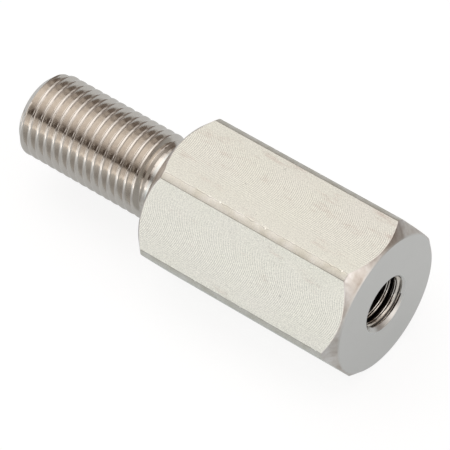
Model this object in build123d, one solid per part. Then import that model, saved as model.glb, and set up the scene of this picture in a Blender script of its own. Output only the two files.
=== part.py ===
"""Male-female hex adapter: a 3/8-24 UNF stud on a 5/8 inch hexagon with a 1/4-28 UNF tapped hole.

The adapter is one piece of turned bar. It lies along X: the stud points to -X, the tapped hole
opens to +X, and the origin is the centre of the shoulder face that a jam nut seats against.
The hexagon rests on one of its flats, so +Z is the outward normal of the flat on top.
Lengths are in millimetres. The thread grooves themselves are not cut: the stud stands at its
major diameter and the hole at its tapping diameter.
"""

import math
import os

from build123d import *

INCH = 25.4

# hexagonal body
ACROSS_FLATS = 5 / 8 * INCH
BODY_LENGTH = 1.0 * INCH
BAR_DIAMETER = 17.86  # round bar before milling; what is left of it is the narrow land on each corner
FEMALE_FACE_DIAMETER = 15.33  # flat of the female end, inside its turned 45 degree chamfer
SHOULDER_FACE_DIAMETER = 15.48  # flat of the stud end, inside its turned 45 degree chamfer

# threaded stud, 3/8-24 UNF class 2A
STUD_LENGTH = 3 / 4 * INCH
STUD_MAJOR_DIAMETER = 9.44
STUD_POINT_DIAMETER = 7.76  # end face, just under the thread's minor diameter
RELIEF_DIAMETER = 7.92  # undercut between the last thread and the shoulder
RELIEF_LENGTH = 0.1 * INCH
SHOULDER_FILLET = 0.3

# tapped hole, 1/4-28 UNF class 2B
TAP_DRILL_DIAMETER = 5.5
HOLE_DEPTH = 15.0  # to the end of the full drilled diameter
DRILL_POINT_ANGLE = 118
COUNTERSINK_DIAMETER = 6.5  # mouth of the 90 degree countersink


def revolved(points: list[tuple[float, float]]) -> Part:
    """A solid of revolution about X from (x, radius) points; its last side is closed along X."""
    with BuildPart() as turned:
        with BuildSketch(Plane.XY) as section:
            with BuildLine():
                Polyline(*points, close=True)
            make_face()
        revolve(section.sketch, axis=Axis.X)
    return turned.part


def turned_blank() -> Part:
    """The bar as it leaves the lathe: stud, relief, shoulder, full bar and both 45 degree chamfers."""
    bar = BAR_DIAMETER / 2
    major = STUD_MAJOR_DIAMETER / 2
    point = STUD_POINT_DIAMETER / 2
    relief = RELIEF_DIAMETER / 2
    shoulder_face = SHOULDER_FACE_DIAMETER / 2
    female_face = FEMALE_FACE_DIAMETER / 2
    profile = [
        (-STUD_LENGTH, 0),
        (-STUD_LENGTH, point),
        (-STUD_LENGTH + (major - point), major),
        (-RELIEF_LENGTH - (major - relief), major),
        (-RELIEF_LENGTH, relief),
        (0, relief),
        (0, shoulder_face),
        (bar - shoulder_face, bar),
        (BODY_LENGTH - (bar - female_face), bar),
        (BODY_LENGTH, female_face),
        (BODY_LENGTH, 0),
    ]
    blank = revolved(profile)
    inner_corner = blank.edges().filter_by(GeomType.CIRCLE).filter_by(
        lambda edge: abs(edge.radius - relief) < 1e-6 and abs(edge.center().X) < 1e-6
    )
    return fillet(inner_corner, SHOULDER_FILLET)


def hexagon_envelope() -> Part:
    """The space between six milled flats, with two of them facing up and down."""
    with BuildPart() as envelope:
        with BuildSketch(Plane.YZ.offset(-STUD_LENGTH)):
            RegularPolygon(ACROSS_FLATS / 2, 6, major_radius=False, rotation=0)
        extrude(amount=STUD_LENGTH + BODY_LENGTH)
    return envelope.part


def tapping_hole() -> Part:
    """What the drill and the countersink remove: a blind hole with a pointed bottom."""
    drill = TAP_DRILL_DIAMETER / 2
    mouth = COUNTERSINK_DIAMETER / 2
    bottom = BODY_LENGTH - HOLE_DEPTH
    point_depth = drill / math.tan(math.radians(DRILL_POINT_ANGLE / 2))
    profile = [
        (bottom - point_depth, 0),
        (bottom, drill),
        (BODY_LENGTH - (mouth - drill), drill),
        (BODY_LENGTH, mouth),
        (BODY_LENGTH, 0),
    ]
    return revolved(profile)


def hex_adapter() -> Part:
    """Turn the bar, mill the six flats, then drill and countersink the female end."""
    milled = turned_blank() & hexagon_envelope()
    return milled - tapping_hole()


adapter = hex_adapter()
adapter.label = "hex_adapter"
os.makedirs("parts", exist_ok=True)
export_step(adapter, "parts/hex_adapter.step")
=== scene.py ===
"""Male-female hex adapter: nickel plated steel, a 3/8-24 UNF stud and a 1/4-28 UNF tapped hole.

The adapter lies on one flat of its hexagon on a white table. It is one closed skin: the turned
and milled body, the cut thread of the stud and the tapped thread of the hole, in the row frame,
whose X axis is the thread axis. Sizes in the classes are in millimetres, but for the studio's,
which are in metres.
"""

import logging
import math
from dataclasses import dataclass, field
from enum import Enum, IntEnum

import bmesh
import bpy
import numpy as np
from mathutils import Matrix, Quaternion, Vector

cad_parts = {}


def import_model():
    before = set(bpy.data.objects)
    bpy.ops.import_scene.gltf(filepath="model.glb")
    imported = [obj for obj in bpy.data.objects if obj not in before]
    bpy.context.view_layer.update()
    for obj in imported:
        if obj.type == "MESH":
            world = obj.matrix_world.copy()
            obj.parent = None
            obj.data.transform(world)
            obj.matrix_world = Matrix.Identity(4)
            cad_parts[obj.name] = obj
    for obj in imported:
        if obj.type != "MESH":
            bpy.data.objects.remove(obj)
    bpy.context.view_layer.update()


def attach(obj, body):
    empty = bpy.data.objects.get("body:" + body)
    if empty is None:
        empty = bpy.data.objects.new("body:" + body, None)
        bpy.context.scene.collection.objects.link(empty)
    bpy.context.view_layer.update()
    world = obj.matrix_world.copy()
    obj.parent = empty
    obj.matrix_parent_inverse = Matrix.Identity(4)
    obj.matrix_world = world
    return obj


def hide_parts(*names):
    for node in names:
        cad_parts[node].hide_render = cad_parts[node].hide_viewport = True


LOG = logging.getLogger("hex_adapter")
MM = 0.001
INCH = 25.4
FULL_TURN = 2.0 * math.pi

Tree = bpy.types.NodeTree
Node = bpy.types.Node
Socket = bpy.types.NodeSocket
Colour = tuple[float, float, float, float]

BLACK: Colour = (0.0, 0.0, 0.0, 1.0)
WHITE: Colour = (1.0, 1.0, 1.0, 1.0)


class Finish(IntEnum):
    """How a patch of the skin was made, and so which material it has."""

    MILLED = 0
    TURNED = 1
    BAR = 2
    THREADED = 3
    BORE = 4
    FINE = 5


# --- colours and nodes -----------------------------------------------------------------------


def linear(hex_colour: str) -> Colour:
    """Turn an sRGB hex colour into the linear RGBA that shader sockets take.

    Each channel c is c / 12.92 up to 0.04045 and ((c + 0.055) / 1.055) ** 2.4 above it.

    Args:
        hex_colour: the colour as "#RRGGBB".

    Returns:
        Linear red, green and blue, and an alpha of 1.
    """
    channels = np.array([int(hex_colour[i : i + 2], 16) for i in (1, 3, 5)]) / 255.0
    low, high = channels / 12.92, ((channels + 0.055) / 1.055) ** 2.4
    red, green, blue = np.where(channels <= 0.04045, low, high)
    return float(red), float(green), float(blue), 1.0


def add_node(
    tree: Tree, kind: str, inputs: dict[str | int, object] | tuple = (), **settings: object
) -> Node:
    """Add one node with its settings, its constant inputs and its links.

    Args:
        tree: the node tree that gets the node.
        kind: the node's type name after "ShaderNode", such as "Math".
        inputs: value of each input socket, in order (a MapRange has its value, the two ends it
            comes from and the two it goes to), or by name or number. An output socket makes a
            link, and so does a node, from the first of its outputs that is in use.
        settings: attributes of the node itself.

    Returns:
        The new node.
    """
    node = tree.nodes.new("ShaderNode" + kind)
    for name, value in settings.items():
        setattr(node, name, value)
    pairs = inputs.items() if isinstance(inputs, dict) else enumerate(inputs)
    for name, value in pairs:
        if isinstance(value, Node):
            value = next(output for output in value.outputs if output.enabled)
        if isinstance(value, Socket):
            tree.links.new(value, node.inputs[name])
        else:
            node.inputs[name].default_value = value
    return node


def add_object(name: str, data: bpy.types.ID) -> bpy.types.Object:
    """Make an object and put it in the scene.

    Args:
        name: the object's name.
        data: its mesh, lamp or camera.

    Returns:
        The object.
    """
    made = bpy.data.objects.new(name, data)
    bpy.context.scene.collection.objects.link(made)
    return made


def empty_tree(owner: bpy.types.Material | bpy.types.World) -> Tree:
    """Switch nodes on for a material or world.

    Args:
        owner: the material or world.

    Returns:
        Its tree, cleared.
    """
    owner.use_nodes = True
    owner.node_tree.nodes.clear()
    return owner.node_tree


def skin_place(tree: Tree) -> bpy.types.bpy_prop_collection:
    """Add the three outputs of the skin's flat_place: along, across and beside, as join() has them."""
    place = add_node(tree, "Attribute", attribute_name="flat_place")
    return add_node(tree, "SeparateXYZ", (place.outputs["Vector"],)).outputs


def fill_ramp(ramp: Node, stops: list[tuple[float, Colour]]) -> None:
    """Give a new colour ramp its stops.

    Args:
        ramp: the colour ramp's node.
        stops: the place and the colour of each stop, in rising order.
    """
    elements = ramp.color_ramp.elements
    for place, _ in stops[1:-1]:
        elements.new(place)
    for element, (place, colour) in zip(elements, stops):
        element.position = place
        element.color = colour


# --- finishes --------------------------------------------------------------------------------


@dataclass(frozen=True)
class TwoTone:
    """Two tones that go over into each other in soft patches of fractal noise."""

    size: float  # mm across a patch
    tones: tuple[str, str]
    detail: float = 3.0
    rough: float = 0.5
    used: tuple[float, float] = (0.0, 1.0)  # the noise from the one tone to the other

    def add(self, tree: Tree, spot: Socket) -> tuple[Node, Node]:
        """Add the patches.

        Args:
            tree: the tree that gets the nodes.
            spot: the place on the object.

        Returns:
            The node of the noise and the node of the colour.
        """
        scale = 1.0 / (self.size * MM)
        look = {"Vector": spot, "Scale": scale, "Detail": self.detail, "Roughness": self.rough}
        noise = add_node(tree, "TexNoise", look)
        share = add_node(tree, "MapRange", (noise, *self.used))
        one, other = (linear(tone) for tone in self.tones)
        return noise, add_node(tree, "Mix", {0: share, 6: one, 7: other}, data_type="RGBA")


@dataclass(frozen=True)
class SatinGrain:
    """The dusty grain that a satin surface shows through the plating."""

    shade: float  # how much darker the darkest grains are
    size: float = 0.11  # mm across a grain; the real one is finer, too fine to show
    used: tuple[float, float] = (0.35, 0.65)  # the noise from the lightest grain to the darkest

    def add(self, tree: Tree, spot: Socket) -> tuple[Node, Node]:
        """Add the grain.

        Args:
            tree: the tree that gets the nodes.
            spot: the place on the object.

        Returns:
            The node of the grain's height and the node of its darkness.
        """
        look = {"Vector": spot, "Scale": 1.0 / (self.size * MM), "Detail": 2.0, "Roughness": 0.7}
        height = add_node(tree, "TexNoise", look)
        return height, add_node(tree, "MapRange", (height, *self.used, 0.0, self.shade))


@dataclass
class Look:
    """What a finish adds to plain metal."""

    colour: Node
    bumps: list[tuple[float, Node]]  # height in mm and shape of each
    extra: dict[str, object] = field(default_factory=dict)  # further inputs of the surface


@dataclass(frozen=True)
class PlatedMetal:
    """A surface of the adapter; look() adds what is its own."""

    name: str
    roughness: float

    def look(self, tree: Tree, spot: Socket) -> Look:
        """Add the finish's own nodes.

        Args:
            tree: the tree that gets the nodes.
            spot: the place on the object.

        Returns:
            The finish's look.
        """
        raise NotImplementedError

    def material(self) -> bpy.types.Material:
        """Build the material.

        Returns:
            The finished material.
        """
        material = bpy.data.materials.new(self.name)
        tree = empty_tree(material)
        look = self.look(tree, add_node(tree, "TexCoord").outputs["Object"])
        relief = {}
        for height, shape in look.bumps:
            bump = {"Distance": height * MM, "Height": shape, **relief}
            relief = {"Normal": add_node(tree, "Bump", bump)}
        surface = {"Base Color": look.colour, "Metallic": 1.0, "Roughness": self.roughness}
        shader = add_node(tree, "BsdfPrincipled", {**surface, **relief, **look.extra})
        add_node(tree, "OutputMaterial", (shader,))
        return material


@dataclass(frozen=True)
class MilledNickel(PlatedMetal):
    """Bright nickel over fly-cut steel: a satin flat crossed by the fine arcs of the cutter.

    The eye sees an almost even pale metal hatched by close curved lines, with a dusty grain, a
    faint rose or straw tone in patches, a few pin holes, and smears left by handling, which
    gather on one side of the adapter.
    """

    name: str = "nickel_over_milled_steel"
    roughness: float = 0.42
    plating: TwoTone = TwoTone(6.0, ("#F7F7EA", "#F7F4EC"))
    feed: float = 0.215  # mm between two cutter arcs
    cutter_radius: float = 4.5  # mm, of the arcs
    arc_shade: float = 0.24  # how much darker the bottom of an arc is
    arc_fade: tuple[float, float] = (1.56, 3.9)  # mm from a flat's middle, over which arcs fade
    arc_height: float = 0.0012  # mm
    grain: SatinGrain = SatinGrain(shade=0.24)
    grain_height: float = 0.0032  # mm
    smear: str = "#DCCCC1"
    smear_size: float = 1.6  # mm across a smear
    smear_draw: tuple[float, float, float] = (0.3, 1.0, 1.0)  # smears are drawn out along X
    smear_edge: tuple[float, float] = (0.53, 0.74)  # the noise where a smear starts and is full
    smear_cover: float = 0.62  # how much of the plating's colour a full smear hides
    sides: tuple[float, float] = (-7.5, 4.5)  # mm along Y, from the clean side to the smeared one
    smear_drift: float = 0.045  # how much likelier smears get from the one side to the other
    pit_spacing: float = 2.2  # mm
    pit_radius: float = 0.16  # mm
    pit_shade: float = 0.3  # how much darker the middle of a pin hole is

    def arcs(self, tree: Tree, along: Socket, across: Socket) -> Node:
        """Add the cutter's arcs: sin(2 pi (x - sqrt(R^2 - s^2)) / feed).

        They are a family of circle arcs of one radius R that are moved along x by the feed.

        Args:
            tree: the tree that gets the nodes.
            along: x, the place along the axis.
            across: s, the place across the flat.

        Returns:
            The node of the arcs' height, from -1 to 1.
        """
        square = add_node(tree, "Math", (across, across), operation="MULTIPLY")
        under = add_node(tree, "Math", (self.cutter_radius**2, square), operation="SUBTRACT")
        bow = add_node(tree, "Math", (under,), operation="SQRT")
        behind = add_node(tree, "Math", (along, bow), operation="SUBTRACT")
        phase = add_node(tree, "Math", (behind, FULL_TURN / self.feed), operation="MULTIPLY")
        return add_node(tree, "Math", (phase,), operation="SINE")

    def smears(self, tree: Tree, spot: Socket) -> Node:
        """Add the smears, from drawn-out noise that grows from one side to the other.

        Args:
            tree: the tree that gets the nodes.
            spot: the place on the object.

        Returns:
            The node of how much a smear hides.
        """
        drawn = add_node(tree, "Mapping", {"Vector": spot, "Scale": self.smear_draw})
        scale = 1.0 / (self.smear_size * MM)
        look = {"Vector": drawn, "Scale": scale, "Detail": 7.0, "Roughness": 0.75}
        wiped = add_node(tree, "TexNoise", look)
        sides = (side * MM for side in self.sides)
        sideways = add_node(tree, "SeparateXYZ", (spot,)).outputs["Y"]
        drift = (sideways, *sides, -self.smear_drift, self.smear_drift)
        likelier = add_node(tree, "MapRange", drift)
        uneven = add_node(tree, "Math", (wiped, likelier), operation="ADD")
        edge = (uneven, *self.smear_edge, 0.0, self.smear_cover)
        return add_node(tree, "MapRange", edge, interpolation_type="SMOOTHSTEP")

    def look(self, tree: Tree, spot: Socket) -> Look:
        """Add the arcs, the pin holes, the grain, the plating and the smears.

        An arc is dark by shade / 2 (1 + fade(|s|) arcs), and a pin hole by shade (1 - d / radius)
        at d from its middle.

        Args:
            tree: the tree that gets the nodes.
            spot: the place on the object.

        Returns:
            The finish's look.
        """
        along, across, _ = skin_place(tree)
        arcs = self.arcs(tree, along, across)
        half = 0.5 * self.arc_shade
        off = add_node(tree, "Math", (across,), operation="ABSOLUTE")
        fade = (off, *self.arc_fade, half, 0.0)
        swing = add_node(tree, "MapRange", fade, interpolation_type="SMOOTHSTEP")
        arc_dark = add_node(tree, "Math", (arcs, swing, half), operation="MULTIPLY_ADD")
        pits = add_node(tree, "TexVoronoi", {"Vector": spot, "Scale": 1.0 / (self.pit_spacing * MM)})
        rim = self.pit_radius / self.pit_spacing
        pit_dark = add_node(tree, "MapRange", (pits, 0.0, rim, self.pit_shade, 0.0))
        grain, dark = self.grain.add(tree, spot)
        for more in (arc_dark, pit_dark):
            dark = add_node(tree, "Math", (dark, more), operation="ADD")
        _, colour = self.plating.add(tree, spot)
        for share, tone in ((self.smears(tree, spot), linear(self.smear)), (dark, BLACK)):
            colour = add_node(tree, "Mix", {0: share, 6: colour, 7: tone}, data_type="RGBA")
        return Look(colour, [(self.arc_height, arcs), (self.grain_height, grain)])


@dataclass(frozen=True)
class TurnedNickel(PlatedMetal):
    """Bright nickel over lathe-turned steel: faces, chamfers and, finer, the relief groove.

    The eye sees a smooth, almost neutral metal with fine rings about the thread axis; the
    chamfers, which are handled most, are mottled with rose-brown stains and bright rubbed spots.
    """

    name: str = "nickel_over_turned_steel"
    roughness: float = 0.3
    plating: TwoTone = TwoTone(2.0, ("#D7D4CF", "#D3D0CB"), detail=5.0, rough=0.7)
    stains: tuple[str, str, str] = ("#B6AA9F", "#D1CAC2", "#EBE7E4")  # stained, mellow, rubbed
    levels: tuple[float, float, float] = (0.36, 0.57, 0.76)  # the noise and wear at each
    mottle: float = 2.2  # mm across a stain
    corner: tuple[float, float] = (7.95, 8.8)  # mm from the axis, the chamfer's corners
    corner_wear: float = 0.15  # how much cleaner the corners are rubbed
    face_edge: tuple[float, float] = (7.7, 7.85)  # mm from the axis, from face to chamfer
    ring: float = 0.16  # mm between rings; the real feed marks are finer, too fine to show
    ring_height: float = 0.0006  # mm

    def look(self, tree: Tree, spot: Socket) -> Look:
        """Add the plating, the chamfers' stains and the rings.

        The rings are sin(2 pi (r + x) / ring), with r the distance from the thread axis, so they
        run round faces and cones alike.

        Args:
            tree: the tree that gets the nodes.
            spot: the place on the object.

        Returns:
            The finish's look.
        """
        x, y, z = add_node(tree, "SeparateXYZ", (spot,)).outputs
        section = add_node(tree, "CombineXYZ", (0.0, y, z))
        radius = add_node(tree, "VectorMath", (section,), operation="LENGTH")
        reach = add_node(tree, "Math", (radius, x), operation="ADD")
        phase = add_node(tree, "Math", (reach, FULL_TURN / (self.ring * MM)), operation="MULTIPLY")
        rings = add_node(tree, "Math", (phase,), operation="SINE")
        _, plain = self.plating.add(tree, spot)

        scale = 1.0 / (self.mottle * MM)
        look = {"Vector": spot, "Scale": scale, "Detail": 6.0, "Roughness": 0.62}
        stained = add_node(tree, "TexNoise", look)
        corner = (place * MM for place in self.corner)
        worn = add_node(tree, "MapRange", (radius, *corner, 0.0, self.corner_wear))
        clean = add_node(tree, "Math", (stained, worn), operation="ADD")
        mottled = add_node(tree, "ValToRGB", (clean,))
        fill_ramp(mottled, [(at, linear(tone)) for at, tone in zip(self.levels, self.stains)])
        edge = add_node(tree, "MapRange", (radius, *(place * MM for place in self.face_edge)))
        colour = add_node(tree, "Mix", {0: edge, 6: plain, 7: mottled}, data_type="RGBA")
        return Look(colour, [(self.ring_height, rings)])


@dataclass(frozen=True)
class BarNickel(PlatedMetal):
    """Bright nickel over the drawn bar: the narrow land that is left on each corner.

    The eye sees a straw-toned strip with a fine grain. Along each edge lies a dark line of
    painted shade for the edge's dark reflection: crisp where the cutter came in, wavy where it
    left a thin burr, with a few painted glints on the burr.
    """

    name: str = "nickel_over_drawn_bar"
    roughness: float = 0.3
    plating: TwoTone = TwoTone(1.5, ("#EFECE3", "#DEDACC"), detail=5.0, used=(0.35, 0.65))
    plating_height: float = 0.004  # mm
    grain: SatinGrain = SatinGrain(shade=0.16)
    line_width: float = 0.05  # mm, half the width of the painted shade lines at the land's edges
    crisp_at: float = 0.37  # mm from the land's middle
    crisp_painted_shade: float = 0.5
    wavy_at: float = -0.33  # mm from the land's middle
    wavy_painted_shade: float = 0.4
    wave: float = 0.14  # mm that the burr's line can wander to each side
    wave_length: float = 0.9  # mm
    # colour of the painted glints on the burr
    burr_glint: str = "#FFFCF4"
    burrs: tuple[float, ...] = (1.2, 8.3, 14.0, 23.4)  # mm along the body
    burr_radius: tuple[float, float] = (0.04, 0.11)  # mm, of a painted glint's bright middle and its rim

    def look(self, tree: Tree, spot: Socket) -> Look:
        """Add the plating, the grain, the two painted shade lines at the edges and the painted glints.

        The burr's line lies at wavy_at + (2 noise(x) - 1) wave across the land, and a painted shade
        line is dark by depth (1 - |t - at| / width) at t across the land.

        Args:
            tree: the tree that gets the nodes.
            spot: the place on the object.

        Returns:
            The finish's look.
        """
        along, _, beside = skin_place(tree)
        ripple = {"W": along, "Scale": 1.0 / self.wave_length, "Detail": 3.0}
        wander = add_node(tree, "TexNoise", ripple, noise_dimensions="1D")
        swing = (wander, 2 * self.wave, self.wavy_at - self.wave)
        wavy_at = add_node(tree, "Math", swing, operation="MULTIPLY_ADD")
        _, dark = self.grain.add(tree, spot)
        # the two edge lines are painted shade, added to the grain's darkness
        for at, depth in ((wavy_at, self.wavy_painted_shade), (self.crisp_at, self.crisp_painted_shade)):
            off = add_node(tree, "Math", (beside, at), operation="SUBTRACT")
            gap = add_node(tree, "Math", (off,), operation="ABSOLUTE")
            line = add_node(tree, "MapRange", (gap, 0.0, self.line_width, depth, 0.0))
            dark = add_node(tree, "Math", (dark, line), operation="ADD")
        noise, tint = self.plating.add(tree, spot)
        colour = add_node(tree, "Mix", {0: dark, 6: tint, 7: BLACK}, data_type="RGBA")

        here = add_node(tree, "CombineXYZ", (along, beside))
        # painted glints on the burr
        for burr in self.burrs:
            speck = add_node(tree, "CombineXYZ", (burr, wavy_at))
            away = add_node(tree, "VectorMath", (speck, here), operation="DISTANCE")
            burr_glint = add_node(tree, "MapRange", (away, *self.burr_radius, 1.0, 0.0))
            tones = {0: burr_glint, 6: colour, 7: linear(self.burr_glint)}
            colour = add_node(tree, "Mix", tones, data_type="RGBA")
        return Look(colour, [(self.plating_height, noise)])


@dataclass(frozen=True)
class ThreadedNickel(PlatedMetal):
    """Bright nickel over cut thread flanks and the lips of the tapped thread.

    The eye sees the glossiest metal of the part, a little warmer than the rest, with sharp
    light and dark bands that follow the helix.
    """

    name: str = "nickel_over_cut_thread"
    roughness: float = 0.18
    plating: TwoTone = TwoTone(0.8, ("#D6CFC6", "#CEC7BF"))
    plating_height: float = 0.003  # mm
    stretch: float = 0.85  # how far the marks along the helix pull a reflection across them
    quarter: float = 0.25  # of a turn, from the radial tangent to the marks

    def look(self, tree: Tree, spot: Socket) -> Look:
        """Add the plating and the marks along the helix.

        Args:
            tree: the tree that gets the nodes.
            spot: the place on the object.

        Returns:
            The finish's look.
        """
        noise, tint = self.plating.add(tree, spot)
        tangent = add_node(tree, "Tangent", direction_type="RADIAL", axis="X")
        marks = {"Anisotropic": self.stretch, "Anisotropic Rotation": self.quarter}
        return Look(tint, [(self.plating_height, noise)], {**marks, "Tangent": tangent})


@dataclass(frozen=True)
class BoreNickel(PlatedMetal):
    """Nickel in a blind tapped hole, painted with the hole's shade and the light on its flanks.

    The eye sees painted shade, a dark brown-black, deep in the hole and between the bright
    crests of the thread, a band of painted light on each turn's outward flank near the mouth,
    and paler scored streaks.
    """

    name: str = "tapped_hole_nickel_with_painted_shade"
    roughness: float = 0.3
    # painted light for the outward flanks near the mouth, and painted shade for deep in the hole
    painted_lit_flank: str = "#F7EEE1"
    painted_hole_shade: str = "#322A26"
    streak: float = 0.22  # mm across a scored streak
    streak_height: float = 0.01  # mm
    used: tuple[float, float] = (0.3, 0.7)  # the noise from a scored streak to whole plating
    scored: float = 0.8  # how much of the plating a scored streak keeps
    pitch: float = INCH / 28
    plated: tuple[float, float] = (0.27, 0.49)  # mm along a turn, its outward flank, where the painted light lies
    painted_light_fade: float = 0.06  # mm over which the painted light fades out
    painted_light_reach: tuple[float, float] = (23.95, 24.2)  # mm along X, from the painted shade deep in the hole to the painted light near the mouth

    def look(self, tree: Tree, spot: Socket) -> Look:
        """Add the painted light of each turn's outward flank over the painted shade, and the scores.

        The painted light covers each turn between two places of its helical coordinate, as much as
        the depth in the hole and the scores leave of it.

        Args:
            tree: the tree that gets the nodes.
            spot: the place on the object.

        Returns:
            The finish's look.
        """
        along, helical, _ = skin_place(tree)
        scale = 1.0 / (self.streak * MM)
        score = add_node(tree, "TexNoise", {"Vector": spot, "Scale": scale, "Detail": 3.0})
        turn = add_node(tree, "Math", (helical, self.pitch), operation="FLOORED_MODULO")
        low, high = self.plated
        painted_light_share = add_node(tree, "MapRange", (along, *self.painted_light_reach))
        rise = (turn, low - self.painted_light_fade, low)
        fall = (turn, high + self.painted_light_fade, high)
        for levels in (rise, fall, (score, *self.used, self.scored)):
            part = add_node(tree, "MapRange", levels)
            painted_light_share = add_node(tree, "Math", (painted_light_share, part), operation="MULTIPLY")
        # painted shade deep in the hole, painted light on the outward flanks near the mouth
        tones = {0: painted_light_share, 6: linear(self.painted_hole_shade), 7: linear(self.painted_lit_flank)}
        colour = add_node(tree, "Mix", tones, data_type="RGBA")
        return Look(colour, [(self.streak_height, score)])


# --- the skin --------------------------------------------------------------------------------


@dataclass(frozen=True)
class Outline:
    """Where the mesh columns stand round the axis; the last column lies on the first."""

    angle: np.ndarray
    radius: np.ndarray
    across: np.ndarray  # place of each column across its flat, from the flat's middle
    on_flat: np.ndarray  # whether the strip from a column to the next is milled

    @property
    def count(self) -> int:
        """Number of strips round the axis."""
        return len(self.angle) - 1

    def even_angles(self) -> np.ndarray:
        """The same number of columns at equal steps, for the parts that are round."""
        return np.linspace(0.0, FULL_TURN, self.count + 1)


@dataclass(frozen=True)
class Corner:
    """One corner of a meridian; its x and r are one number, or one for each column."""

    x: float | np.ndarray
    r: float | np.ndarray
    ease: float = 0.0  # setback of its rounding
    steps: int = 3  # strips along its rounding


@dataclass
class Patch:
    """A grid of points, rows by columns."""

    points: np.ndarray
    finish: np.ndarray  # the Finish of each face
    across: np.ndarray  # place of each point across its flat, or its helical one in the hole


def grid_faces(rows: int, columns: int, start: int = 0) -> np.ndarray:
    """Work out the faces of a grid of points that are numbered row by row.

    The face between rows i and i + 1 and columns j and j + 1 has the corners (i, j), (i, j + 1),
    (i + 1, j + 1) and (i + 1, j), in this order.

    Args:
        rows: number of rows.
        columns: number of columns.
        start: number of the first point.

    Returns:
        The four corners of each face.
    """
    index = start + np.arange(rows * columns).reshape(rows, columns)
    corners = [index[:-1, :-1], index[:-1, 1:], index[1:, 1:], index[1:, :-1]]
    return np.stack(corners, -1).reshape(-1, 4)


def meridian(corners: list[Corner], columns: int) -> np.ndarray:
    """Join corners into rows of (x, radius), with each corner rounded.

    A corner p with neighbours a and b and setback e becomes the quadratic curve
    (1-t)^2 (p + e u) + 2 t (1-t) p + t^2 (p + e v), where u and v are the unit vectors from p
    towards a and b, and t goes from 0 to 1.

    Args:
        corners: the corners in order.
        columns: number of columns round the axis.

    Returns:
        An array of rows by columns by (x, radius).
    """
    spots = np.stack(
        [np.stack([np.full(columns, c.x, float), np.full(columns, c.r, float)], -1) for c in corners]
    )
    rows = []
    for i, corner in enumerate(corners):
        here = spots[i]
        if corner.ease <= 0.0 or i in (0, len(corners) - 1):
            rows.append(here[None])
            continue
        back, ahead = spots[i - 1] - here, spots[i + 1] - here
        back = back / np.linalg.norm(back, axis=-1, keepdims=True) * corner.ease
        ahead = ahead / np.linalg.norm(ahead, axis=-1, keepdims=True) * corner.ease
        t = np.linspace(0.0, 1.0, corner.steps + 1)[:, None, None]
        curve = (1 - t) ** 2 * (here + back) + 2 * t * (1 - t) * here + t**2 * (here + ahead)
        rows.append(curve)
    return np.concatenate(rows)


def turned(rows: np.ndarray, angles: np.ndarray) -> np.ndarray:
    """Carry rows of (x, radius) round the X axis.

    The point of radius r at angle f from +Y towards +Z is (x, r cos f, r sin f).

    Args:
        rows: rows by columns by (x, radius).
        angles: the angle of each column, or of each row and column.

    Returns:
        Rows by columns by (x, y, z).
    """
    x, r = rows[..., 0], rows[..., 1]
    return np.stack([x, r * np.cos(angles), r * np.sin(angles)], -1)


def round_patch(rows: np.ndarray, angles: np.ndarray, finish: Finish) -> Patch:
    """Carry rows of (x, radius) round the X axis as a patch of one finish."""
    kinds = np.full((len(rows) - 1, len(angles) - 1), int(finish))
    return Patch(turned(rows, angles), kinds, np.zeros(rows.shape[:2]))


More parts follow.
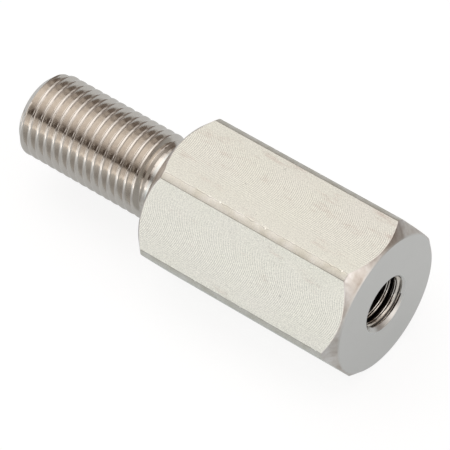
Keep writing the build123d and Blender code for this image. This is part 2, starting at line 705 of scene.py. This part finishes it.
@dataclass
class HexBody:
    """The milled hexagon with a narrow land of the bar on each corner and 45 degree end chamfers."""

    across_flats: float = 5 / 8 * INCH
    length: float = 1.0 * INCH
    bar_radius: float = 17.86 / 2
    shoulder_face_radius: float = 15.48 / 2
    female_face_radius: float = 15.33 / 2
    corner_ease: float = 0.15  # radius of the rounding between a flat and a land
    edge_ease: float = 0.045  # setback of the rounding along the end chamfers
    inner_shoulder: float = 4.6  # radius of the ring where the stud goes on
    inner_face: float = 3.7  # radius of the ring where the hole goes on
    flat_strips: int = 18
    ease_strips: int = 3
    land_strips: int = 4
    length_strips: int = 8
    rings: int = 4  # mesh rings on each end face
    ring_inset: float = 0.2  # between the outermost of them and the face's edge

    def outline(self) -> Outline:
        """Work out the columns round the hexagon, from the corner at +Y.

        In a flat's own frame, n outwards and s across, the flat is n = h. Its rounding of radius
        e has its centre at n = h - e, at the distance R - e from the axis, so that it touches the
        flat and the land of radius R; the land is the circle of radius R.

        Returns:
            The outline, closed, with its last column on the first.
        """
        h, big, e = self.across_flats / 2, self.bar_radius, self.corner_ease
        s_mid = math.sqrt((big - e) ** 2 - (h - e) ** 2)
        turn = math.atan2(s_mid, h - e)
        s_flat = np.linspace(0.0, s_mid, self.flat_strips // 2 + 1)
        arc = np.linspace(0.0, turn, self.ease_strips + 1)[1:]
        land = np.linspace(turn, math.radians(30.0), self.land_strips // 2 + 1)[1:]
        n = np.concatenate([np.full(len(s_flat), h), h - e + e * np.cos(arc), big * np.cos(land)])
        s = np.concatenate([s_flat, s_mid + e * np.sin(arc), big * np.sin(land)])
        n, s = np.concatenate([n[:0:-1], n]), np.concatenate([-s[:0:-1], s])
        flat = np.abs((s[:-1] + s[1:]) / 2) < s_mid
        local = np.arctan2(s, n)
        angle = np.concatenate([math.radians(60 * k + 30) + local[:-1] for k in range(6)])
        return Outline(
            angle=np.append(angle, FULL_TURN),
            radius=np.append(np.tile(np.hypot(n, s)[:-1], 6), math.hypot(n[0], s[0])),
            across=np.append(np.tile(s[:-1], 6), s[0]),
            on_flat=np.tile(flat, 6),
        )

    def patches(self, outline: Outline) -> list[Patch]:
        """Build the shoulder face, the chamfers, the flats and lands, and the female face.

        Both end chamfers are cones of 45 degrees: where the section has the radius r, the edge
        lies r minus the face's radius behind the face. The columns of a face's rings go over
        from equal steps at its inner ring to the hexagon's columns at its outermost.

        Args:
            outline: the columns round the hexagon.

        Returns:
            One patch from the shoulder's inner ring to the female face's inner ring.
        """
        r, ease, rings = outline.radius, self.edge_ease, self.rings
        near_edge = self.length - (r - self.female_face_radius)
        far_edge = r - self.shoulder_face_radius
        edge = self.shoulder_face_radius - self.ring_inset
        shoulder = [Corner(0.0, ring) for ring in np.linspace(self.inner_shoulder, edge, rings)]
        edge = self.female_face_radius - self.ring_inset
        face = [Corner(self.length, ring) for ring in np.linspace(edge, self.inner_face, rings)]
        parts = np.linspace(0.0, 1.0, self.length_strips + 1)[1:-1]
        outer = [
            Corner(0.0, self.shoulder_face_radius, ease),
            Corner(far_edge, r, ease),
            *[Corner(far_edge + (near_edge - far_edge) * part, r) for part in parts],
            Corner(near_edge, r, ease),
            Corner(self.length, self.female_face_radius, ease),
        ]
        rows = meridian([*shoulder, *outer, *face], outline.count + 1)
        even = outline.even_angles()
        share = np.ones(len(rows))
        share[:rings] = np.linspace(0.0, 1.0, rings)
        share[-rings:] = np.linspace(1.0, 0.0, rings)
        angles = even + share[:, None] * (outline.angle - even)
        rounded = Corner.steps + 1
        first = rings + 2 * rounded - 1
        last = len(rows) - rings - 2 * rounded
        finish = np.full((len(rows) - 1, outline.count), int(Finish.TURNED))
        finish[first:last] = np.where(outline.on_flat, int(Finish.MILLED), int(Finish.BAR))
        across = np.broadcast_to(outline.across, rows.shape[:2])
        return [Patch(turned(rows, angles), finish, across)]


@dataclass(frozen=True)
class ThreadForm:
    """A 60 degree thread with a flat crest and a round root, right-hand.

    A tapped crest can have a dip between the two lips that the tap's flanks raise.
    """

    pitch: float
    depth: float
    crest_flat: float
    crest_ease: float
    flank_rows: int = 2
    dip: float = 0.0
    dip_slope: float = 0.06  # mm along the axis from a lip down into the dip

    @property
    def root_radius(self) -> float:
        """Radius of the root, which touches both flanks: (P/2 - f/2 - d/sqrt 3) sqrt 3."""
        spare = self.pitch / 2 - self.crest_flat / 2 - self.depth / math.sqrt(3.0)
        return spare * math.sqrt(3.0)

    def ridge(self) -> np.ndarray:
        """Work out one pitch of the profile, from one root's middle to the next.

        The root is the arc (q sin t, q (1 - cos t)) for t up to 60 degrees, the flank rises from
        there at 60 degrees, and the crest is flat with rounded corners.

        Returns:
            Rows of (place along the axis, height over the root).
        """
        q = self.root_radius
        t = np.radians([0.0, 30.0, 60.0])
        root = np.stack([q * np.sin(t), q * (1 - np.cos(t))], -1)
        top = np.array([self.pitch / 2 - self.crest_flat / 2, self.depth])
        rise = (root[-1] - top) / np.linalg.norm(root[-1] - top) * self.crest_ease
        level = np.array([self.crest_ease, 0.0])
        s = np.linspace(0.0, 1.0, 3)[:, None]
        crest = (1 - s) ** 2 * (top + rise) + 2 * s * (1 - s) * top + s**2 * (top + level)
        part = np.linspace(0.0, 1.0, self.flank_rows + 2)[1:-1, None]
        half = np.concatenate([root, root[-1] + part * (crest[0] - root[-1]), crest])
        if self.dip > 0.0:
            floor = crest[-1] + np.array([self.dip_slope, -self.dip])
            half = np.concatenate([half, floor[None]])
        other = np.stack([self.pitch - half[::-1, 0], half[::-1, 1]], -1)
        return np.concatenate([half, other[:-1]])

    def helix(
        self, low: float, high: float, root_at: float, angles: np.ndarray
    ) -> tuple[np.ndarray, np.ndarray]:
        """Carry the profile along its helix, between two places on the axis.

        A row that starts at x0 has x = x0 + P f / 2 pi at the angle f, held between low and
        high, so the last column of one pitch's rows lies on the first column of the next pitch's.

        Args:
            low: lowest place along the axis.
            high: highest place along the axis.
            root_at: place of one root's middle at the angle 0.
            angles: the angle of each column.

        Returns:
            The places along the axis and the heights over the root, rows by columns.
        """
        first = math.floor((low - self.pitch - root_at) / self.pitch)
        last = math.ceil((high - root_at) / self.pitch)
        ridge = self.ridge()
        starts = root_at + self.pitch * np.arange(first, last + 1)
        x0 = (starts[:, None] + ridge[None, :, 0]).ravel()
        height = np.tile(ridge[:, 1], len(starts))
        keep = (x0 + self.pitch > low - 1e-9) & (x0 < high + 1e-9)
        keep = keep | np.roll(keep, 1) | np.roll(keep, -1)
        x = x0[keep, None] + self.pitch * angles[None, :] / FULL_TURN
        return np.clip(x, low, high), np.repeat(height[keep, None], len(angles), axis=1)


@dataclass
class Stud:
    """The 3/8-24 UNF stud with its pointed end and the relief groove at the shoulder."""

    length: float = 3 / 4 * INCH
    major_radius: float = 9.44 / 2
    point_radius: float = 7.76 / 2
    relief_radius: float = 7.92 / 2
    relief_length: float = 0.1 * INCH
    shoulder_fillet: float = 0.3
    fillet_strips: int = 7
    edge_ease: float = 0.05
    tip: float = 0.08  # length of the point that is left without thread
    past: float = 0.25  # how far the thread's rows go on into the groove
    groove_ring: float = 0.6  # where the groove has a ring, from the shoulder to those rows
    root_phase: float = -3.358  # place of a root's middle at the angle 0
    form: ThreadForm = ThreadForm(pitch=INCH / 24, depth=0.652, crest_flat=0.24, crest_ease=0.05)

    def envelope(self, x: np.ndarray) -> np.ndarray:
        """Radius of the stud before threading: its point, the bar, the groove's wall, the groove.

        The point and the wall rise at 45 degrees, so their radius is a length plus or minus x.

        Args:
            x: places along the axis.

        Returns:
            The radius at each place.
        """
        point = self.point_radius + (x + self.length)
        wall = self.relief_radius + (-self.relief_length - x)
        return np.maximum(np.minimum(np.minimum(point, wall), self.major_radius), self.relief_radius)

    def patches(self, outline: Outline, shoulder: float) -> list[Patch]:
        """Build the end face, the thread, the groove and the fillet at the shoulder.

        The thread's radius is the lesser of root plus height and the envelope.

        Args:
            outline: the columns, for their number.
            shoulder: radius of the ring where the body's shoulder face goes on.

        Returns:
            The patches from the stud's end to the shoulder.
        """
        angles = outline.even_angles()
        low, high = -self.length + self.tip, -self.relief_length + self.past
        end = [
            Corner(-self.length, 0.0),
            Corner(-self.length, self.point_radius / 2),
            Corner(-self.length, self.point_radius, self.edge_ease),
            Corner(low, self.point_radius + self.tip),
        ]
        groove = [
            Corner(high, self.relief_radius),
            Corner(high * self.groove_ring, self.relief_radius),
            Corner(0.0, self.relief_radius, self.shoulder_fillet, self.fillet_strips),
            Corner(0.0, shoulder),
        ]
        x, height = self.form.helix(low, high, self.root_phase, angles)
        root = self.major_radius - self.form.depth
        thread = np.stack([x, np.minimum(root + height, self.envelope(x))], -1)
        neck = round_patch(meridian(groove, len(angles)), angles, Finish.FINE)
        neck.finish[-1] = int(Finish.TURNED)
        return [
            round_patch(meridian(end, len(angles)), angles, Finish.TURNED),
            round_patch(thread, angles, Finish.THREADED),
            neck,
        ]


@dataclass
class TappedHole:
    """The 1/4-28 UNF hole: countersunk, tapped, and ending in the drill's 118 degree point."""

    face_x: float = 1.0 * INCH
    mouth_radius: float = 6.5 / 2
    crest_radius: float = 5.5 / 2
    depth: float = 15.0
    tapped: float = 12.7
    point_angle: float = 118.0
    edge_ease: float = 0.03
    runout: float = 1.2  # mm over which the deepest thread fades out
    lead_start: float = 0.05  # mm under the face where the first thread starts to fade in
    lead_in: float = 0.3  # mm over which it does
    lip_share: float = 0.75  # height of a flank, as part of the depth, where its bright lip starts
    level_gap: float = 1e-4  # mm, rows that differ by less in height are level
    root_phase: float = 25.0  # place of a root's middle at the angle 0
    form: ThreadForm = ThreadForm(
        pitch=INCH / 28, depth=0.42, crest_flat=0.34, crest_ease=0.07, flank_rows=1, dip=0.05
    )

    def patches(self, outline: Outline, face: float) -> list[Patch]:
        """Build the countersink, the tapped thread and the drilled bottom.

        The thread's radius is the greater of the countersink's cone and the crest's radius plus
        what the height leaves of the depth, which fades to nothing at both ends of the thread.

        Args:
            outline: the columns, for their number.
            face: radius of the ring where the female face ends.

        Returns:
            The patches from the face to the bottom of the hole.
        """
        angles, form, crest = outline.even_angles(), self.form, self.crest_radius
        root = crest + form.depth
        high = self.face_x - (self.mouth_radius - root)
        low = self.face_x - self.tapped
        mouth = [
            Corner(self.face_x, face),
            Corner(self.face_x, self.mouth_radius, self.edge_ease),
            Corner(high, root),
        ]
        bottom_x = self.face_x - self.depth
        slope = math.tan(math.radians(self.point_angle / 2))
        bottom = [
            Corner(low, crest),
            Corner(bottom_x, crest),
            Corner(bottom_x - crest / 2 / slope, crest / 2),
            Corner(bottom_x - crest / slope, 0.0),
        ]
        x, height = form.helix(low, high, self.root_phase, angles)
        fade = np.clip((x - low) / self.runout, 0.0, 1.0)
        fade = fade * np.clip((self.face_x - self.lead_start - x) / self.lead_in, 0.0, 1.0)
        cone = self.mouth_radius - (self.face_x - x)
        wall = crest + (form.depth - height) * fade
        rows = np.stack([x, np.maximum(wall, cone)], -1)[::-1]
        rim = round_patch(meridian(mouth, len(angles)), angles, Finish.TURNED)
        rim.finish[1 : 1 + Corner.steps] = int(Finish.FINE)
        # the tapped thread gets BoreNickel's painted shade and painted light; its lips and the
        # countersink's cone keep plain metal
        thread = round_patch(rows, angles, Finish.BORE)
        thread.across = (x - form.pitch * angles / FULL_TURN)[::-1]
        rise, on_cone = height[::-1], (cone > wall)[::-1]
        level = (rise[:-1] + rise[1:])[:, :-1] / (2 * form.depth)
        sloped = np.abs(rise[1:] - rise[:-1])[:, :-1] > self.level_gap
        thread.finish[(level > self.lip_share) & sloped] = int(Finish.THREADED)
        thread.finish[(on_cone[:-1] & on_cone[1:])[:, :-1]] = int(Finish.TURNED)
        # the drilled bottom lies deep in the hole, where BoreNickel is all painted shade
        return [rim, thread, round_patch(meridian(bottom, len(angles)), angles, Finish.BORE)]


@dataclass
class Adapter:
    """The whole adapter as one closed skin."""

    body: HexBody = field(default_factory=HexBody)
    stud: Stud = field(default_factory=Stud)
    hole: TappedHole = field(default_factory=TappedHole)
    name: str = "plated_adapter"
    weld: float = 0.0003  # mm, points nearer than this are one
    sharp: float = 35.0  # degrees, steeper edges stay crisp

    def build(self, finishes: dict[Finish, bpy.types.Material]) -> bpy.types.Object:
        """Make the skin's object.

        Args:
            finishes: the material of each finish.

        Returns:
            The object, at the origin, with its place in its mesh.
        """
        outline = self.body.outline()
        patches = [
            *self.stud.patches(outline, self.body.inner_shoulder),
            *self.body.patches(outline),
            *self.hole.patches(outline, self.body.inner_face),
        ]
        mesh = self.join(patches)
        for finish in Finish:
            mesh.materials.append(finishes[finish])
        skin = add_object(self.name, mesh)
        even = skin.modifiers.new("face_weighted_normals", "WEIGHTED_NORMAL")
        even.mode = "FACE_AREA"
        even.keep_sharp = True
        return skin

    def join(self, patches: list[Patch]) -> bpy.types.Mesh:
        """Put the patches' grids into one mesh and weld it.

        Each face corner's flat_place is (along, across, beside): x, the patch's own across, and
        the place beside the nearest land's middle, which lies at R sin 30 = R / 2 across.

        Args:
            patches: the patches in order from the stud's end to the hole's bottom.

        Returns:
            A closed mesh.
        """
        faces, start = [], 0
        for patch in patches:
            rows, columns = patch.points.shape[:2]
            faces.append(grid_faces(rows, columns, start))
            start += rows * columns
        faces = np.concatenate(faces)
        points = np.concatenate([patch.points.reshape(-1, 3) for patch in patches])
        across = np.concatenate([patch.across.ravel() for patch in patches])
        kinds = np.concatenate([patch.finish.ravel() for patch in patches])
        beside = across - np.copysign(self.body.bar_radius / 2, across)
        places = np.stack([points[:, 0], across, beside], -1).astype(np.float32)
        mesh = bpy.data.meshes.new(self.name)
        mesh.from_pydata((points * MM).tolist(), [], faces.tolist())
        mesh.polygons.foreach_set("material_index", kinds.astype(np.int32))
        flat_place = mesh.attributes.new("flat_place", "FLOAT_VECTOR", "CORNER")
        flat_place.data.foreach_set("vector", places[faces.ravel()].ravel())
        self.close(mesh)
        mesh.polygons.foreach_set("use_smooth", np.ones(len(mesh.polygons), bool))
        mesh.set_sharp_from_angle(angle=math.radians(self.sharp))
        mesh.update()
        return mesh

    def close(self, mesh: bpy.types.Mesh) -> None:
        """Weld the seam, the poles and the rings where patches meet, and log what is left open.

        Args:
            mesh: the mesh to weld.
        """
        work = bmesh.new()
        work.from_mesh(mesh)
        bmesh.ops.remove_doubles(work, verts=work.verts, dist=self.weld * MM)
        bmesh.ops.dissolve_degenerate(work, edges=work.edges, dist=self.weld * MM)
        loose = [v for v in work.verts if not v.link_faces]
        bmesh.ops.delete(work, geom=loose, context="VERTS")
        open_edges = sum(1 for e in work.edges if len(e.link_faces) != 2)
        volume = work.calc_volume(signed=True) / MM**3
        found = (len(work.faces), open_edges, volume)
        LOG.info("skin: %d faces, %d open edges, volume %.1f mm3", *found)
        work.to_mesh(mesh)
        work.free()


# --- the studio ------------------------------------------------------------------------------


class Wall(Enum):
    """A side of the studio: which way its softboxes are turned, as XYZ angles in degrees."""

    CEILING = (0.0, 0.0, 0.0)
    FRONT = (90.0, 0.0, 0.0)
    BACK = (-90.0, 0.0, 0.0)
    RIGHT = (0.0, 90.0, 0.0)
    LEFT = (0.0, -90.0, 0.0)


@dataclass(frozen=True)
class Softbox:
    """A rectangular lamp on a wall of the studio that shines evenly.

    Its first span is along X on the ceiling, the front and the back, and along Y on the right and
    the left; its second span is along Y on the ceiling and along Z on the walls. All in metres.
    """

    name: str
    wall: Wall
    first: tuple[float, float]
    second: tuple[float, float]
    strength: float  # brightness of its surface, where 1 is white

    def build(self, reach: float) -> bpy.types.Object:
        """Make the lamp; its power is strength times pi times its area.

        Args:
            reach: the wall's place on the axis that it stands across, in metres.

        Returns:
            The lamp's object.
        """
        u, v = sum(self.first) / 2, sum(self.second) / 2
        wide, high = self.first[1] - self.first[0], self.second[1] - self.second[0]
        lamp = bpy.data.lights.new(self.name, "AREA")
        lamp.shape = "RECTANGLE"
        lamp.energy = self.strength * math.pi * wide * high
        holder = add_object(self.name, lamp)
        if self.wall is Wall.CEILING:
            holder.location, (lamp.size, lamp.size_y) = (u, v, reach), (wide, high)
        elif self.wall in (Wall.FRONT, Wall.BACK):
            holder.location, (lamp.size, lamp.size_y) = (u, reach, v), (wide, high)
        else:
            holder.location, (lamp.size, lamp.size_y) = (reach, u, v), (high, wide)
        holder.rotation_euler = [math.radians(angle) for angle in self.wall.value]
        holder.visible_camera = False
        return holder


@dataclass
class Studio:
    """A white table in a dim warm room with softboxes and reflectors overhead and around."""

    floor_z: float = -5 / 16 * INCH - 0.02  # mm, just under the resting flat
    floor_half: float = 3.0  # half the floor's side
    floor_lines: int = 9  # mesh lines of the floor each way
    paper: str = "#C5C9CC"
    paper_glow: float = 0.5  # share of the paper's glow in what metal sees
    white_glow: float = 1.06  # strength of the white that the camera sees
    white_share: float = 0.8  # share of that white, the rest carries the shadow
    glow: tuple[tuple[float, float], ...] = (
        (0.0, 1.6),
        (0.01, 1.5),
        (0.016, 1.0),
        (0.022, 1.05),
        (0.032, 1.6),
        (0.08, 2.5),
    )  # places in front of the thread axis and how the paper glows there to metal: a painted shadow band in front of the adapter, and painted light farther out
    dim_room: str = "#776B63"  # what is between the softboxes
    dark_front: str = "#5A4F47"  # the room behind the camera
    front_from: tuple[float, float] = (-0.56, -0.68)  # Y of the direction, from dim to dark
    ceiling: float = 0.6
    front: float = -0.6
    back: float = 1.1
    right: float = 0.8
    left: float = -1.4
    softboxes: tuple[Softbox, ...] = (
        Softbox("overhead_front_dim", Wall.CEILING, (-0.8, 0.0), (-0.56, -0.45), 0.22),
        Softbox("overhead_front_edge", Wall.CEILING, (-0.8, 0.0), (-0.45, -0.36), 0.52),
        Softbox("overhead_front", Wall.CEILING, (-0.8, 0.0), (-0.36, -0.25), 0.86),
        Softbox("overhead", Wall.CEILING, (-0.8, 0.0), (-0.25, -0.08), 1.15),
        Softbox("overhead_bright", Wall.CEILING, (-0.8, 0.0), (-0.08, 0.25), 1.36),
        Softbox("overhead_back", Wall.CEILING, (-0.8, 0.0), (0.25, 0.5), 1.04),
        Softbox("overhead_far_back", Wall.CEILING, (-1.1, 0.0), (0.5, 1.1), 0.5),
        Softbox("overhead_right_front", Wall.CEILING, (0.0, 0.24), (-0.45, -0.15), 0.5),
        Softbox("overhead_right", Wall.CEILING, (0.0, 0.4), (-0.15, 0.18), 1.35),
        Softbox("overhead_right_back", Wall.CEILING, (0.0, 0.4), (0.18, 0.55), 0.77),
        Softbox("overhead_far_right", Wall.CEILING, (0.44, 1.4), (-0.45, 0.18), 0.55),
        Softbox("overhead_far_left", Wall.CEILING, (-1.4, -0.8), (-0.45, 0.55), 0.45),
        Softbox("front_card_low", Wall.FRONT, (-0.9, 0.5), (0.0, 0.08), 1.75),
        Softbox("front_card", Wall.FRONT, (-0.9, 0.5), (0.08, 0.2), 1.08),
        Softbox("front_card_high", Wall.FRONT, (-0.5, 0.5), (0.2, 0.3), 0.95),
        Softbox("front_card_top", Wall.FRONT, (-0.5, 0.5), (0.3, 0.36), 0.8),
        Softbox("front_left_top", Wall.FRONT, (-1.4, -0.6), (0.38, 0.6), 1.15),
        Softbox("right_front", Wall.RIGHT, (-0.6, -0.3), (0.0, 0.6), 0.55),
        Softbox("right_middle", Wall.RIGHT, (-0.3, -0.05), (0.0, 0.6), 0.97),
        Softbox("right_back", Wall.RIGHT, (-0.05, 0.25), (0.0, 0.6), 0.88),
        Softbox("right_high", Wall.RIGHT, (0.25, 0.7), (0.3, 0.6), 0.7),
        Softbox("right_low", Wall.RIGHT, (0.25, 1.1), (0.0, 0.3), 0.2),
        Softbox("back_card", Wall.BACK, (-1.4, 0.0), (0.0, 0.9), 0.12),
        Softbox("left_card", Wall.LEFT, (-0.6, 1.1), (0.0, 0.6), 0.35),
    )

    def build(self) -> bpy.types.Object:
        """Make the floor, the room and the lamps.

        Returns:
            The floor's object.
        """
        reach = {
            Wall.CEILING: self.ceiling,
            Wall.FRONT: self.front,
            Wall.BACK: self.back,
            Wall.RIGHT: self.right,
            Wall.LEFT: self.left,
        }
        for softbox in self.softboxes:
            softbox.build(reach[softbox.wall])
        self.room()
        return self.floor()

    def floor(self) -> bpy.types.Object:
        """Make the floor, a grid of z = floor_z, with its finish.

        Returns:
            The floor's object.
        """
        side = np.linspace(-self.floor_half, self.floor_half, self.floor_lines)
        y, x = np.meshgrid(side, side, indexing="ij")
        points = np.stack([x, y, np.full_like(x, self.floor_z * MM)], -1).reshape(-1, 3)
        mesh = bpy.data.meshes.new("table_top")
        mesh.from_pydata(points.tolist(), [], grid_faces(*x.shape).tolist())
        mesh.materials.append(self.floor_finish())
        return add_object("table_top", mesh)

    def floor_finish(self) -> bpy.types.Material:
        """Build the table's matt paper: white to look at, with the adapter's shadow on it.

        The camera sees white, and polished metal sees the paper glow with a painted shadow: dimmest in
        a band 16 to 22 mm in front of the thread axis, and brighter farther in front as painted light;
        both keep a share of lit paper, which carries the cast shadow.

        Returns:
            The finished material.
        """
        material = bpy.data.materials.new("matt_paper")
        tree = empty_tree(material)
        grey = linear(self.paper)
        paper = add_node(tree, "BsdfDiffuse", (grey,))
        place = add_node(tree, "TexCoord").outputs["Object"]
        _, y, _ = add_node(tree, "SeparateXYZ", (place,)).outputs
        # the glow's ramp paints a shadow band in front of the adapter and painted light farther out
        reach, brightest = self.glow[-1]
        levels = add_node(tree, "ValToRGB", (add_node(tree, "MapRange", (y, 0.0, -reach)),))
        levels.color_ramp.interpolation = "EASE"
        shares = [(far / reach, level / brightest) for far, level in self.glow]
        fill_ramp(levels, [(at, (share, share, share, 1.0)) for at, share in shares])
        strength = add_node(tree, "Math", (levels, brightest), operation="MULTIPLY")
        metal_sees_glow_and_painted_shadow = self.glowing(tree, paper, grey, strength, self.paper_glow)
        white = add_node(tree, "BsdfDiffuse", (WHITE,))
        camera_sees = self.glowing(tree, white, WHITE, self.white_glow, self.white_share)
        path = add_node(tree, "LightPath").outputs
        rays = (path["Is Glossy Ray"], path["Is Transmission Ray"])
        mirrored = add_node(tree, "Math", rays, operation="MAXIMUM")
        seen = add_node(tree, "MixShader", (mirrored, paper, metal_sees_glow_and_painted_shadow))
        both = add_node(tree, "MixShader", (path["Is Camera Ray"], seen, camera_sees))
        add_node(tree, "OutputMaterial", (both,))
        return material

    def glowing(
        self, tree: Tree, lit: Node, colour: Colour, strength: float | Node, share: float
    ) -> Node:
        """Mix a share of even light into a lit surface.

        Args:
            tree: the tree that gets the nodes.
            lit: the shader of the lit surface.
            colour: colour of the even light.
            strength: strength of the even light.
            share: how much of the surface it makes up.

        Returns:
            The node of the mixed shader.
        """
        glow = add_node(tree, "Emission", (colour, strength))
        return add_node(tree, "MixShader", (share, lit, glow))

    def room(self) -> None:
        """Make the world: white to look at, and a dim warm room to the light."""
        world = bpy.data.worlds.new("pale_room")
        bpy.context.scene.world = world
        tree = empty_tree(world)
        heading = add_node(tree, "TexCoord").outputs["Generated"]
        _, y, _ = add_node(tree, "SeparateXYZ", (heading,)).outputs
        forward = add_node(tree, "MapRange", (y, *self.front_from))
        tones = {0: forward, 6: linear(self.dim_room), 7: linear(self.dark_front)}
        tone = add_node(tree, "Mix", tones, data_type="RGBA")
        room = add_node(tree, "Background", (tone,))
        white = add_node(tree, "Background", (WHITE,))
        camera = add_node(tree, "LightPath").outputs["Is Camera Ray"]
        both = add_node(tree, "MixShader", (camera, room, white))
        add_node(tree, "OutputWorld", (both,))


@dataclass(frozen=True)
class Viewpoint:
    """The camera: where it looks, from which side, and how far away."""

    aim: tuple[float, float, float] = (6.018, -1.206, 0.0)  # mm
    azimuth: float = 42.1465  # degrees, from -Y towards +X
    elevation: float = 49.9119
    roll: float = 5.152  # degrees, the camera's top leans to its right
    distance: float = 377.909  # mm
    lens: float = 298.974  # mm, on a 36 mm sensor
    sensor: float = 36.0

    def build(self) -> bpy.types.Object:
        """Make the camera and make it the scene's.

        The camera looks from aim + distance b, where b is (sin a cos e, -cos a cos e, sin e).

        Returns:
            The camera's object.
        """
        a, e = math.radians(self.azimuth), math.radians(self.elevation)
        back = Vector((math.sin(a) * math.cos(e), -math.cos(a) * math.cos(e), math.sin(e)))
        data = bpy.data.cameras.new("camera")
        data.lens, data.sensor_width = self.lens, self.sensor
        data.clip_start, data.clip_end = 0.01, 20.0
        camera = add_object("camera", data)
        camera.location = (Vector(self.aim) + back * self.distance) * MM
        camera.rotation_mode = "QUATERNION"
        level = (-back).to_track_quat("-Z", "Y")
        camera.rotation_quaternion = level @ Quaternion((0.0, 0.0, 1.0), -math.radians(self.roll))
        bpy.context.scene.camera = camera
        return camera


def main() -> None:
    """Load the frame, build the adapter, the studio and the camera."""
    logging.basicConfig(level=logging.INFO, format="%(message)s")
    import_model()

    finishes = {
        Finish.MILLED: MilledNickel().material(),
        Finish.TURNED: TurnedNickel().material(),
        Finish.BAR: BarNickel().material(),
        Finish.THREADED: ThreadedNickel().material(),
        Finish.BORE: BoreNickel().material(),
        Finish.FINE: TurnedNickel(
            name="nickel_over_fine_turned_steel",
            roughness=0.26,
            plating=TwoTone(2.0, ("#D8D8D3", "#D4D4CF"), detail=5.0, rough=0.7),
        ).material(),
    }
    skin = Adapter().build(finishes)
    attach(skin, "root")
    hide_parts("hex_adapter")
    LOG.info("built %s", skin.name)

    floor = Studio().build()
    LOG.info("built %s", floor.name)

    Viewpoint().build()
    bpy.context.scene.view_settings.view_transform = "Standard"

    LOG.info("camera ready")


if __name__ == "__main__":
    main()
